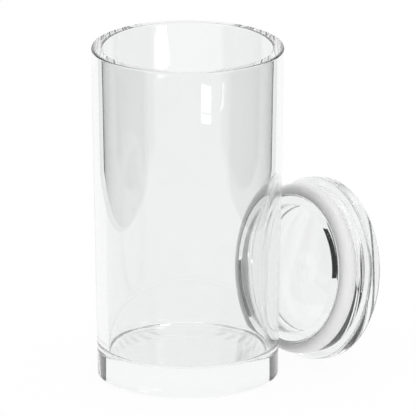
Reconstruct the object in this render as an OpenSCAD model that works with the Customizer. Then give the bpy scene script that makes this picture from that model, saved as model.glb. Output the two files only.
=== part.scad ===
// Clear acrylic canister, with its lid taken off and stood on edge beside it.
// The origin is the centre of the foot, on the surface that it stands on, with +Z up.

/* [Canister] */
// Outside diameter at the mouth
mouth_d = 102; // [80:1:130]
// Outside diameter at the foot, smaller by the draft of the mould
foot_d = 96; // [78:1:128]
// Height from the foot to the lip
canister_h = 180; // [130:5:260]
// Thickness of the wall
wall_t = 6; // [3:0.25:8]
// Thickness of the solid base
base_t = 15; // [8:0.5:36]
// Depth of the straight land inside the mouth, where the gasket seals
land_h = 17; // [15:1:30]
// Radius of the polished edges of the lip
lip_r = 1.2; // [0.4:0.1:2]
// Radius where the wall meets the floor inside
floor_r = 2.5; // [0.5:0.5:6]
// Radius of the edge round the foot
foot_edge_r = 1.2; // [0.4:0.1:3]

/* [Lid] */
// Thickness of the flange that covers the lip
flange_t = 8; // [5:0.5:14]
// How far the edge of the flange stays inside the edge of the mouth, all round
flange_inset = 2.3; // [0:0.1:3]
// Radius of the edges of the flange
flange_edge_r = 1.6; // [0.4:0.1:2.2]
// Gap between the shoulder of the plug and the mouth, all round
shoulder_gap = 0.5; // [0.2:0.1:1.5]
// Depth of the shoulder, from the flange to the gasket
shoulder_h = 6; // [3:0.1:10]
// Thickness of the ring wall round the cup in the plug
plug_wall_t = 5.1; // [3:0.1:8]
// Height of the bead that holds the gasket on the plug
bead_h = 1; // [0.4:0.1:1.6]
// Length of that bead, at the end of the plug
bead_t = 1.2; // [0.8:0.1:3]
// Depth of the cup in the plug
cup_h = 10.8; // [6:0.1:18]
// How much the cup narrows from its mouth to its floor, all round
cup_draft = 1; // [0:0.25:3]
// Radius where the wall of the cup meets its floor
cup_floor_r = 2.5; // [0.5:0.25:4]
// Diameter of the round gate recess in the floor of the cup
gate_d = 18; // [8:0.5:30]
// Depth of the gate recess
gate_depth = 0.8; // [0.3:0.1:1.5]

/* [Gasket] */
// How much larger the free gasket is than the mouth, all round
squeeze = 0.5; // [0.2:0.1:1.2]
// Thickness of the gasket from the plug outwards
gasket_t = 6.8; // [4:0.1:9]
// Length of the gasket along the plug
gasket_h = 7; // [5:0.1:10]
// Radius of its leading edge, which enters the mouth first
gasket_nose_r = 4.4; // [1:0.1:5]
// Radius of its back edge, next to the shoulder
gasket_back_r = 1; // [0.3:0.1:2]
// Clearance between the gasket and its groove
groove_gap = 0.1; // [0.05:0.05:0.3]

/* [Where the lid stands] */
// Direction that the plug faces, turned from the front towards the left
lid_turn = 52; // [20:1:70]
// How far the lid leans back from upright
lid_lean = 9.5; // [0:0.5:14]
// How far the lid stands to the side of the canister's axis, across that direction
lid_aside = 19; // [0:0.5:36]
// Clearance between the lid and the canister where they come closest
stand_gap = 0.3; // [0.1:0.1:2]

/* [Hidden] */

$fn = 128;
arc_steps = 8;      // steps in each rounded edge of a section
ring_step = 4;      // degrees between the points that feel for the canister
halvings = 26;      // halvings of the span in which the lid is moved up to the canister
round_share = 0.45; // largest share of a wall that a rounded edge takes on each side

mouth_r = mouth_d / 2;
foot_r = foot_d / 2;
bore_r = mouth_r - wall_t;

// Outside radius of the canister at a height
function side_r(z) = foot_r + (mouth_r - foot_r) * z / canister_h;

// Outline with its corners rounded; each point is [radius, height, rounding]
function direction(v) = v / norm(v);
function rounded_corner(before, at, after, r) =
    let (
        u = direction(before - at),
        v = direction(after - at),
        half = acos(u * v) / 2,
        centre = at + direction(u + v) * r / sin(half),
        from = at + u * r / tan(half) - centre,
        to = at + v * r / tan(half) - centre,
        start = atan2(from.y, from.x),
        sweep = (atan2(to.y, to.x) - start + 540) % 360 - 180
    )
    [for (k = [0:arc_steps])
        centre + r * [cos(start + sweep * k / arc_steps), sin(start + sweep * k / arc_steps)]];
function flat_point(p) = [p[0], p[1]];
function rounded_outline(points) =
    let (n = len(points))
    [for (i = [0:n - 1])
        each points[i][2] == 0
            ? [flat_point(points[i])]
            : rounded_corner(flat_point(points[(i + n - 1) % n]), flat_point(points[i]),
                flat_point(points[(i + 1) % n]), points[i][2])];

// Section of the canister: one moulding, open at the top, with a thick solid base
lip_edge_r = min(lip_r, round_share * wall_t);
canister_outline = rounded_outline([
    [0, 0, 0],
    [foot_r, 0, foot_edge_r],
    [mouth_r, canister_h, lip_edge_r],
    [bore_r, canister_h, lip_edge_r],
    [bore_r, canister_h - land_h, 0],
    [side_r(base_t) - wall_t, base_t, floor_r],
    [0, base_t, 0],
]);

// Section of the lid, from its outer face at 0 to the end of its plug
flange_r = mouth_r - flange_inset;
flange_round_r = min(flange_edge_r, round_share * flange_t);
shoulder_r = bore_r - shoulder_gap;
gasket_r = bore_r + squeeze;
seat_r = gasket_r - gasket_t - groove_gap;
rim_r = seat_r + bead_h;
cup_r = rim_r - plug_wall_t;
shoulder_end = flange_t + shoulder_h;
seat_end = shoulder_end + gasket_h + 2 * groove_gap;
plug_end = seat_end + bead_t;
cup_floor = plug_end - cup_h;
small_edge_r = round_share * bead_t;
inside_edge_r = 0.3;
lid_outline = rounded_outline([
    [0, 0, 0],
    [flange_r, 0, flange_round_r],
    [flange_r, flange_t, flange_round_r],
    [shoulder_r, flange_t, inside_edge_r],
    [shoulder_r, shoulder_end, small_edge_r],
    [seat_r, shoulder_end, inside_edge_r],
    [seat_r, seat_end, inside_edge_r],
    [rim_r, seat_end, 0],
    [rim_r, plug_end, small_edge_r],
    [cup_r, plug_end, small_edge_r],
    [cup_r - cup_draft, cup_floor, cup_floor_r],
    [gate_d / 2, cup_floor, 0],
    [gate_d / 2 - gate_depth, cup_floor - gate_depth, 0],
    [0, cup_floor - gate_depth, 0],
]);

// Section of the gasket, in its groove on the plug
gasket_start = shoulder_end + groove_gap;
gasket_end = gasket_start + gasket_h;
gasket_outline = rounded_outline([
    [seat_r + groove_gap, gasket_start, inside_edge_r],
    [gasket_r, gasket_start, gasket_back_r],
    [gasket_r, gasket_end, gasket_nose_r],
    [seat_r + groove_gap, gasket_end, inside_edge_r],
]);

// The lid stands on the edge of its flange, and its plug comes up to the canister's side.
facing = [-sin(lid_turn) * cos(lid_lean), -cos(lid_turn) * cos(lid_lean), sin(lid_lean)];
across = [cos(lid_turn), -sin(lid_turn), 0];
upright = cross(across, facing);
away = [sin(lid_turn), cos(lid_turn), 0];
lid_z = (flange_r - flange_round_r) * cos(lid_lean) + flange_round_r * (1 - sin(lid_lean));
feelers = concat(lid_outline, gasket_outline);

function lid_centre(distance) = distance * away + lid_aside * across + lid_z * [0, 0, 1];
function lid_point(p, angle, distance) =
    lid_centre(distance) + p.y * facing + p.x * (cos(angle) * across + sin(angle) * upright);
function gap_at(distance) =
    min([for (p = feelers, angle = [0:ring_step:360 - ring_step])
        let (q = lid_point(p, angle, distance)) norm([q.x, q.y]) - side_r(q.z)]);
function stand_distance(near, far, left) =
    let (middle = (near + far) / 2)
    left == 0 ? far
        : gap_at(middle) > stand_gap ? stand_distance(near, middle, left - 1)
        : stand_distance(middle, far, left - 1);
lid_distance = stand_distance(0, mouth_d + 2 * flange_r, halvings);

module by_the_canister() {
    translate(lid_centre(lid_distance))
        rotate([0, 90 - lid_lean, -90 - lid_turn])
            children();
}

module canister() {
    color([0.93, 0.95, 0.94, 0.45])
        rotate_extrude()
            polygon(canister_outline);
}

module lid() {
    color([0.9, 0.93, 0.92, 0.5])
        by_the_canister()
            rotate_extrude()
                polygon(lid_outline);
}

module gasket() {
    color([0.88, 0.91, 0.87])
        by_the_canister()
            rotate_extrude()
                polygon(gasket_outline);
}

canister();
lid();
gasket();
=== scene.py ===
import math

import bmesh
import bpy
from mathutils import Matrix, Vector


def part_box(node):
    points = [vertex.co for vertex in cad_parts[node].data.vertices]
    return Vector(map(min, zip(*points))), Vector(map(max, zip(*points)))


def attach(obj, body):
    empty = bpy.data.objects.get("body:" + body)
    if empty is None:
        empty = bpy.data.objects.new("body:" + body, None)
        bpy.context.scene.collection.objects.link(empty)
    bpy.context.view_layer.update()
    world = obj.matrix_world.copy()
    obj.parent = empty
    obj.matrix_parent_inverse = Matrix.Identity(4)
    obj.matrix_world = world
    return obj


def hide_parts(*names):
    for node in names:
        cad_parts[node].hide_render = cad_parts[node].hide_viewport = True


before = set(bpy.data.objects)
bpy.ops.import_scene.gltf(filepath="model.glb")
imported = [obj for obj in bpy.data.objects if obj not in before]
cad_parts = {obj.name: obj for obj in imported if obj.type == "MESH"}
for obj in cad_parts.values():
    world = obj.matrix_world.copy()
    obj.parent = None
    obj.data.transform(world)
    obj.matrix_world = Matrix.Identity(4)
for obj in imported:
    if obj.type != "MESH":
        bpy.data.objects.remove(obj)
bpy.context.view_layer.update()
mm = 0.001

# camera: a long lens a little above the rim, as in a catalogue picture
cameraSettings = {
    "elevation": 17,  # degrees above the horizon
    "distance": 6.0,
    "lens": 980,
    "sensor": 36,
    "aim": Vector((10.7, 0, 90.8)) * mm,
}


def makeCamera(settings):
    data = bpy.data.cameras.new("camera")
    data.lens = settings["lens"]
    data.sensor_width = settings["sensor"]
    data.clip_end = 100
    camera = bpy.data.objects.new("camera", data)
    bpy.context.scene.collection.objects.link(camera)
    tilt = math.radians(settings["elevation"])
    back = Vector((0, -math.cos(tilt), math.sin(tilt)))
    camera.location = settings["aim"] + back * settings["distance"]
    camera.rotation_euler = (math.pi / 2 - tilt, 0, 0)
    bpy.context.scene.camera = camera


makeCamera(cameraSettings)
scene = bpy.context.scene
scene.view_settings.view_transform = "Standard"
# light goes down inside the wall in many small bounces
scene.cycles.max_bounces = 48
scene.cycles.transmission_bounces = 48
scene.cycles.glossy_bounces = 48
print("camera ready")


# node helpers
def addNode(tree, kind, **values):
    node = tree.nodes.new(kind)
    for name, value in values.items():
        setattr(node, name, value)
    return node


def addMath(tree, operation, first, second):
    node = addNode(tree, "ShaderNodeMath", operation=operation)
    for socket, value in zip(node.inputs, (first, second)):
        if isinstance(value, (int, float)):
            socket.default_value = value
        else:
            tree.links.new(value, socket)
    return node.outputs[0]


def newMaterial(name):
    material = bpy.data.materials.new(name)
    material.use_nodes = True
    material.node_tree.nodes.clear()
    return material, material.node_tree


def newGroup(name, inputs, outputs):
    group = bpy.data.node_groups.new(name, "ShaderNodeTree")
    for label, value in inputs.items():
        socket = group.interface.new_socket(label, in_out="INPUT", socket_type="NodeSocketFloat")
        socket.default_value = value
    for label in outputs:
        group.interface.new_socket(label, in_out="OUTPUT", socket_type="NodeSocketFloat")
    return group, group.nodes.new("NodeGroupInput"), group.nodes.new("NodeGroupOutput")


def placeGroup(tree, group, **values):
    node = addNode(tree, "ShaderNodeGroup", node_tree=group)
    for label, value in values.items():
        node.inputs[label].default_value = value
    return node


# shared effects
# slow waves that the cooling plastic leaves, longer along the height than round the wall
def makeMouldFlow():
    group, entry, leave = newGroup("mouldFlow", {"Scale": 40.0, "Stretch": 0.2}, ["Height"])
    place = addNode(group, "ShaderNodeTexCoord")
    combine = addNode(group, "ShaderNodeCombineXYZ")
    combine.inputs[0].default_value = 1
    combine.inputs[1].default_value = 1
    group.links.new(entry.outputs["Stretch"], combine.inputs[2])
    squeeze = addNode(group, "ShaderNodeVectorMath", operation="MULTIPLY")
    group.links.new(place.outputs["Object"], squeeze.inputs[0])
    group.links.new(combine.outputs[0], squeeze.inputs[1])
    waves = addNode(group, "ShaderNodeTexNoise")
    waves.inputs["Detail"].default_value = 1
    waves.inputs["Roughness"].default_value = 0.4
    group.links.new(squeeze.outputs[0], waves.inputs["Vector"])
    group.links.new(entry.outputs["Scale"], waves.inputs["Scale"])
    group.links.new(waves.outputs["Fac"], leave.inputs["Height"])
    return group


# faint smears from handling, as a mask from 0 to 1
def makeHandling():
    group, entry, leave = newGroup("handling", {"Scale": 60.0, "Amount": 0.5}, ["Mask"])
    place = addNode(group, "ShaderNodeTexCoord")
    smears = addNode(group, "ShaderNodeTexNoise")
    smears.inputs["Detail"].default_value = 4
    smears.inputs["Roughness"].default_value = 0.65
    smears.inputs["Distortion"].default_value = 0.6
    group.links.new(place.outputs["Object"], smears.inputs["Vector"])
    group.links.new(entry.outputs["Scale"], smears.inputs["Scale"])
    limit = addNode(group, "ShaderNodeMapRange", interpolation_type="SMOOTHSTEP")
    limit.inputs["From Min"].default_value = 0.5
    limit.inputs["From Max"].default_value = 0.8
    group.links.new(smears.outputs["Fac"], limit.inputs["Value"])
    mask = addMath(group, "MULTIPLY", limit.outputs[0], entry.outputs["Amount"])
    group.links.new(mask, leave.inputs["Mask"])
    return group


mouldFlow = makeMouldFlow()
handling = makeHandling()


def mixColour(tree, factor, first, second):
    mix = addNode(tree, "ShaderNodeMix", data_type="RGBA")
    tree.links.new(factor, mix.inputs[0])
    mix.inputs[6].default_value = (*first, 1)
    mix.inputs[7].default_value = (*second, 1)
    return mix.outputs[2]


def scaleValue(tree, value, low, high):
    ranged = addNode(tree, "ShaderNodeMapRange")
    tree.links.new(value, ranged.inputs["Value"])
    ranged.inputs["To Min"].default_value = low
    ranged.inputs["To Max"].default_value = high
    return ranged.outputs[0]


def clearAcrylic(name, look):
    material, tree = newMaterial(name)
    shader = addNode(tree, "ShaderNodeBsdfPrincipled")
    shader.inputs["IOR"].default_value = 1.49
    shader.inputs["Transmission Weight"].default_value = 1
    smears = placeGroup(tree, handling, Scale=look["smearScale"], Amount=1)
    colour = mixColour(tree, smears.outputs["Mask"], look["colour"], look["smearColour"])
    tree.links.new(colour, shader.inputs["Base Color"])
    gloss = scaleValue(tree, smears.outputs["Mask"], look["polish"], look["smearPolish"])
    tree.links.new(gloss, shader.inputs["Roughness"])
    flow = placeGroup(tree, mouldFlow, Scale=look["flowScale"], Stretch=look["flowStretch"])
    bump = addNode(tree, "ShaderNodeBump")
    bump.inputs["Strength"].default_value = 1
    bump.inputs["Distance"].default_value = look["flowDepth"]
    tree.links.new(flow.outputs["Height"], bump.inputs["Height"])
    tree.links.new(bump.outputs[0], shader.inputs["Normal"])
    out = addNode(tree, "ShaderNodeOutputMaterial")
    tree.links.new(shader.outputs[0], out.inputs["Surface"])
    return material


def milkySilicone(name, look):
    material, tree = newMaterial(name)
    shader = addNode(tree, "ShaderNodeBsdfPrincipled")
    shader.inputs["IOR"].default_value = 1.41
    shader.inputs["Transmission Weight"].default_value = look["clearShare"]
    shader.inputs["Subsurface Weight"].default_value = 1
    shader.inputs["Subsurface Radius"].default_value = (1, 1, 1)
    shader.inputs["Subsurface Scale"].default_value = look["depth"]
    dust = placeGroup(tree, handling, Scale=look["mottleScale"], Amount=1)
    colour = mixColour(tree, dust.outputs["Mask"], look["colour"], look["mottle"])
    tree.links.new(colour, shader.inputs["Base Color"])
    gloss = scaleValue(tree, dust.outputs["Mask"], look["polish"], look["mottlePolish"])
    tree.links.new(gloss, shader.inputs["Roughness"])
    bump = addNode(tree, "ShaderNodeBump")
    bump.inputs["Strength"].default_value = 0.5
    bump.inputs["Distance"].default_value = look["grainDepth"]
    grain = placeGroup(tree, mouldFlow, Scale=look["grainScale"], Stretch=1)
    tree.links.new(grain.outputs["Height"], bump.inputs["Height"])
    tree.links.new(bump.outputs[0], shader.inputs["Normal"])
    out = addNode(tree, "ShaderNodeOutputMaterial")
    tree.links.new(shader.outputs[0], out.inputs["Surface"])
    return material


# shaping helpers: a section of [radius, height, rounding] corners in millimetres is rounded
# corner by corner and spun round the Z axis
def cornerOffset(before, at, after, rounding):
    half = (before - at).angle(after - at) / 2
    return rounding / math.tan(half)


def spunPiece(name, corners, closed, steps, arcSteps=8):
    shape = bmesh.new()
    points = [Vector((radius, 0, height)) * mm for radius, height, rounding in corners]
    ring = [shape.verts.new(point) for point in points]
    for first, second in zip(ring, ring[1:] + ring[:1] if closed else ring[1:]):
        shape.edges.new((first, second))
    for i, (radius, height, rounding) in enumerate(corners):
        if rounding:
            before, after = points[i - 1], points[(i + 1) % len(points)]
            bmesh.ops.bevel(
                shape, geom=[ring[i]], affect="VERTICES", segments=arcSteps, profile=0.5, material=-1,
                offset_type="OFFSET", offset=cornerOffset(before, points[i], after, rounding * mm))
    bmesh.ops.spin(
        shape, geom=shape.verts[:] + shape.edges[:], cent=(0, 0, 0), axis=(0, 0, 1), dvec=(0, 0, 0),
        angle=2 * math.pi, steps=steps, use_merge=True, use_duplicate=False)
    bmesh.ops.remove_doubles(shape, verts=shape.verts, dist=1e-6)
    bmesh.ops.recalc_face_normals(shape, faces=shape.faces)
    mesh = bpy.data.meshes.new(name)
    shape.to_mesh(mesh)
    shape.free()
    mesh.shade_smooth()
    piece = bpy.data.objects.new(name, mesh)
    bpy.context.scene.collection.objects.link(piece)
    return piece


def finishPiece(piece, material, node):
    weighted = piece.modifiers.new("weighted normals", "WEIGHTED_NORMAL")
    weighted.weight = 100
    piece.data.materials.append(material)
    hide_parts(node)
    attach(piece, "root")


# canister
canister = {
    "mouth": 102,
    "foot": 96,
    "wall": 6,
    "base": 15,
    "land": 17,
    "lipRound": 1.2,
    "floorRound": 2.5,
    "footRound": 1.2,
    "steps": 320,
    "look": {
        "colour": (0.925, 0.935, 0.93),
        "smearColour": (0.905, 0.915, 0.91),
        "smearScale": 30,
        "polish": 0.0,
        "smearPolish": 0.012,
        "flowScale": 45,
        "flowStretch": 0.12,
        "flowDepth": 0.02 * mm,
    },
}


def makeCanister(size):
    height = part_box("canister")[1].z / mm
    mouth, foot = size["mouth"] / 2, size["foot"] / 2
    bore = mouth - size["wall"]
    innerFoot = foot + (mouth - foot) * size["base"] / height - size["wall"]
    corners = [
        (0, 0, 0),
        (foot, 0, size["footRound"]),
        (mouth, height, size["lipRound"]),
        (bore, height, size["lipRound"]),
        (bore, height - size["land"], 0),
        (innerFoot, size["base"], size["floorRound"]),
        (0, size["base"], 0),
    ]
    piece = spunPiece("clear_canister", corners, False, size["steps"])
    finishPiece(piece, clearAcrylic("clear acrylic", size["look"]), "canister")


makeCanister(canister)
print("canister ready")

# lid, from its outer face at height 0 to the end of its plug
lid = {
    "turn": 52,
    "lean": 9.5,
    "flange": 48.7,
    "flangeThick": 8,
    "flangeRound": 1.6,
    "shoulder": 44.5,
    "shoulderEnd": 14,
    "seat": 38.6,
    "seatEnd": 21.2,
    "rim": 39.6,
    "plugEnd": 22.4,
    "rimRound": 0.54,
    "cup": 34.5,
    "cupFoot": 33.5,
    "cupFloor": 11.6,
    "cupRound": 2.5,
    "gate": 9,
    "gateDepth": 0.8,
    "innerRound": 0.3,
    "steps": 320,
    "look": {
        "colour": (0.925, 0.935, 0.93),
        "smearColour": (0.905, 0.915, 0.91),
        "smearScale": 45,
        "polish": 0.0,
        "smearPolish": 0.012,
        "flowScale": 60,
        "flowStretch": 1,
        "flowDepth": 0.015 * mm,
    },
}


def lidPlace(size):
    turn, lean = math.radians(size["turn"]), math.radians(size["lean"])
    facing = Vector((-math.sin(turn) * math.cos(lean), -math.cos(turn) * math.cos(lean), math.sin(lean)))
    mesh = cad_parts["lid"].data
    whole = sum(face.area for face in mesh.polygons)
    middle = sum((face.center * face.area for face in mesh.polygons), Vector()) / whole
    outer = min(vertex.co.dot(facing) for vertex in mesh.vertices)
    centre = middle + facing * (outer - middle.dot(facing))
    return Matrix.Translation(centre) @ facing.to_track_quat("Z", "Y").to_matrix().to_4x4()


def makeLid(size):
    corners = [
        (0, 0, 0),
        (size["flange"], 0, size["flangeRound"]),
        (size["flange"], size["flangeThick"], size["flangeRound"]),
        (size["shoulder"], size["flangeThick"], size["innerRound"]),
        (size["shoulder"], size["shoulderEnd"], size["rimRound"]),
        (size["seat"], size["shoulderEnd"], size["innerRound"]),
        (size["seat"], size["seatEnd"], size["innerRound"]),
        (size["rim"], size["seatEnd"], 0),
        (size["rim"], size["plugEnd"], size["rimRound"]),
        (size["cup"], size["plugEnd"], size["rimRound"]),
        (size["cupFoot"], size["cupFloor"], size["cupRound"]),
        (size["gate"], size["cupFloor"], 0),
        (size["gate"] - size["gateDepth"], size["cupFloor"] - size["gateDepth"], 0),
        (0, size["cupFloor"] - size["gateDepth"], 0),
    ]
    piece = spunPiece("clear_lid", corners, False, size["steps"])
    piece.data.transform(lidPlace(size))
    finishPiece(piece, clearAcrylic("lid acrylic", size["look"]), "lid")


makeLid(lid)
print("lid ready")

# gasket in the groove of the plug
gasket = {
    "inner": 38.7,
    "outer": 45.5,
    "start": 14.1,
    "end": 21.1,
    "backRound": 1,
    "noseRound": 4.4,
    "innerRound": 0.3,
    "steps": 256,
    "look": {
        "colour": (0.975, 0.98, 0.973),
        "mottle": (0.99, 0.992, 0.988),
        "mottleScale": 400,
        "polish": 0.28,
        "mottlePolish": 0.4,
        "clearShare": 0.1,
        "depth": 6 * mm,
        "grainScale": 700,
        "grainDepth": 0.05 * mm,
    },
}


def makeGasket(size):
    corners = [
        (size["inner"], size["start"], size["innerRound"]),
        (size["outer"], size["start"], size["backRound"]),
        (size["outer"], size["end"], size["noseRound"]),
        (size["inner"], size["end"], size["innerRound"]),
    ]
    piece = spunPiece("milky_gasket", corners, True, size["steps"])
    piece.data.transform(lidPlace(lid))
    finishPiece(piece, milkySilicone("milky silicone", size["look"]), "gasket")


makeGasket(gasket)
print("gasket ready")

# floor, world, cards and lamps; lengths in metres
studio = {
    "floorRadius": 30,
    "floorDrop": 0.2 * mm,
    "floorColour": (0.9, 0.9, 0.9),
    "floorShare": 0.95,  # how much of the floor's white is its own
    "white": 1.0,  # the background, also as glass and gloss show it
    "floorLight": 0.9,  # what the floor and the world give as light
    "worldLight": 0.95,
}


# 1 for the camera and for what glass and gloss show of the background
def seenDirectly(tree):
    path = addNode(tree, "ShaderNodeLightPath")
    through = addMath(tree, "MAXIMUM", path.outputs["Is Transmission Ray"], path.outputs["Is Glossy Ray"])
    clear = addMath(tree, "LESS_THAN", path.outputs["Diffuse Depth"], 0.5)
    return addMath(tree, "MAXIMUM", path.outputs["Is Camera Ray"], addMath(tree, "MULTIPLY", through, clear))


def addChoice(tree, factor, first, second):
    choice = addNode(tree, "ShaderNodeMix", data_type="FLOAT")
    tree.links.new(factor, choice.inputs[0])
    choice.inputs[2].default_value = first
    choice.inputs[3].default_value = second
    return choice.outputs[0]


def makeFloor(settings):
    shape = bmesh.new()
    bmesh.ops.create_circle(shape, cap_ends=True, segments=96, radius=settings["floorRadius"])
    bmesh.ops.translate(shape, verts=shape.verts, vec=(0, 0, -settings["floorDrop"]))
    mesh = bpy.data.meshes.new("floor")
    shape.to_mesh(mesh)
    shape.free()
    floor = bpy.data.objects.new("floor", mesh)
    bpy.context.scene.collection.objects.link(floor)
    material, tree = newMaterial("white floor")
    strength = addChoice(tree, seenDirectly(tree), settings["floorLight"], settings["white"])
    diffuse = addNode(tree, "ShaderNodeBsdfDiffuse")
    diffuse.inputs["Color"].default_value = (*settings["floorColour"], 1)
    glow = addNode(tree, "ShaderNodeEmission")
    tree.links.new(strength, glow.inputs["Strength"])
    mix = addNode(tree, "ShaderNodeMixShader")
    mix.inputs[0].default_value = settings["floorShare"]
    tree.links.new(diffuse.outputs[0], mix.inputs[1])
    tree.links.new(glow.outputs[0], mix.inputs[2])
    out = addNode(tree, "ShaderNodeOutputMaterial")
    tree.links.new(mix.outputs[0], out.inputs["Surface"])
    mesh.materials.append(material)


def makeWorld(settings):
    world = bpy.data.worlds.new("studio")
    bpy.context.scene.world = world
    world.use_nodes = True
    tree = world.node_tree
    tree.nodes.clear()
    strength = addChoice(tree, seenDirectly(tree), settings["worldLight"], settings["white"])
    background = addNode(tree, "ShaderNodeBackground")
    tree.links.new(strength, background.inputs["Strength"])
    background.inputs["Color"].default_value = (1, 1, 1, 1)
    out = addNode(tree, "ShaderNodeOutputWorld")
    tree.links.new(background.outputs[0], out.inputs["Surface"])


# a card is hidden from the camera and casts no shadow; only the acrylic shows it, through it or in gloss
def makeCard(name, corners, glow, through, gloss):
    shape = bmesh.new()
    shape.faces.new([shape.verts.new(corner) for corner in corners])
    mesh = bpy.data.meshes.new(name)
    shape.to_mesh(mesh)
    shape.free()
    card = bpy.data.objects.new(name, mesh)
    bpy.context.scene.collection.objects.link(card)
    material, tree = newMaterial(name)
    shader = addNode(tree, "ShaderNodeEmission")
    shader.inputs["Strength"].default_value = glow
    out = addNode(tree, "ShaderNodeOutputMaterial")
    tree.links.new(shader.outputs[0], out.inputs["Surface"])
    mesh.materials.append(material)
    card.visible_camera = False
    card.visible_diffuse = False
    card.visible_shadow = False
    card.visible_transmission = through
    card.visible_glossy = gloss


# a plain black flag on each side, in metres; from behind or from the side the acrylic shows it broadly
flags = {"apart": 0.3, "front": -0.25, "back": 0.25, "top": 0.5, "glow": 0.03}


def makeFlags(size):
    for name, side in (("flag_left", -1), ("flag_right", 1)):
        x = side * size["apart"]
        corners = [
            (x, size["front"], 0),
            (x, size["back"], 0),
            (x, size["back"], size["top"]),
            (x, size["front"], size["top"]),
        ]
        makeCard(name, corners, size["glow"], True, True)


# bright cards seen as windows, placed for the front view, and a blind that hides a stray reflection:
# left and right edge with the lower and upper end at each, place in depth, glow
windows = {
    "front_window": (0.0783, (0.073, 0.089), 0.149, (0.063, 0.079), -0.3, 5),
    "front_sill": (0.0783, (0.0663, 0.072), 0.149, (0.0563, 0.062), -0.3, 5),
    "back_window": (0.145, (0.061, 0.087), 0.311, (0.0317, 0.0574), -0.3, 5),
    "front_blind": (0.02, (0.09, 0.2), 0.076, (0.138, 0.2), -0.1, 0.95),
}
seenThrough = ("back_window", "front_blind")  # the others show in gloss only
overhead = ((-0.8, -1.0, 1.5), (0.8, -1.0, 1.5), (0.8, 0.7, 1.5), (-0.8, 0.7, 1.5))
overheadGlow = 1


def makeWindows(rows):
    for name, (left, leftEnds, right, rightEnds, y, glow) in rows.items():
        ends = ((left, leftEnds[0]), (right, rightEnds[0]), (right, rightEnds[1]), (left, leftEnds[1]))
        through = name in seenThrough
        makeCard(name, [(x, y, z) for x, z in ends], glow, through, not through)
    makeCard("overhead_card", overhead, overheadGlow, False, True)


# place, width and height, watts
lampAim = (0, 0, 0.08)
lamps = {
    "window_left": ((-1.3, -0.9, 1.2), (0.7, 1.0), 3),
    "window_right": ((1.2, -1.3, 1.0), (0.5, 0.9), 2),
    "overhead": ((0, 0.3, 1.8), (1.2, 1.0), 4),
}


def makeLamp(name, place, size, power):
    data = bpy.data.lights.new(name, "AREA")
    data.shape = "RECTANGLE"
    data.size, data.size_y = size
    data.energy = power
    lamp = bpy.data.objects.new(name, data)
    bpy.context.scene.collection.objects.link(lamp)
    lamp.location = place
    lamp.rotation_euler = (Vector(lampAim) - Vector(place)).to_track_quat("-Z", "Y").to_euler()


makeFloor(studio)
makeWorld(studio)
makeFlags(flags)
makeWindows(windows)
for lampName, (lampPlace, lampSize, watts) in lamps.items():
    makeLamp(lampName, lampPlace, lampSize, watts)
print("studio ready")
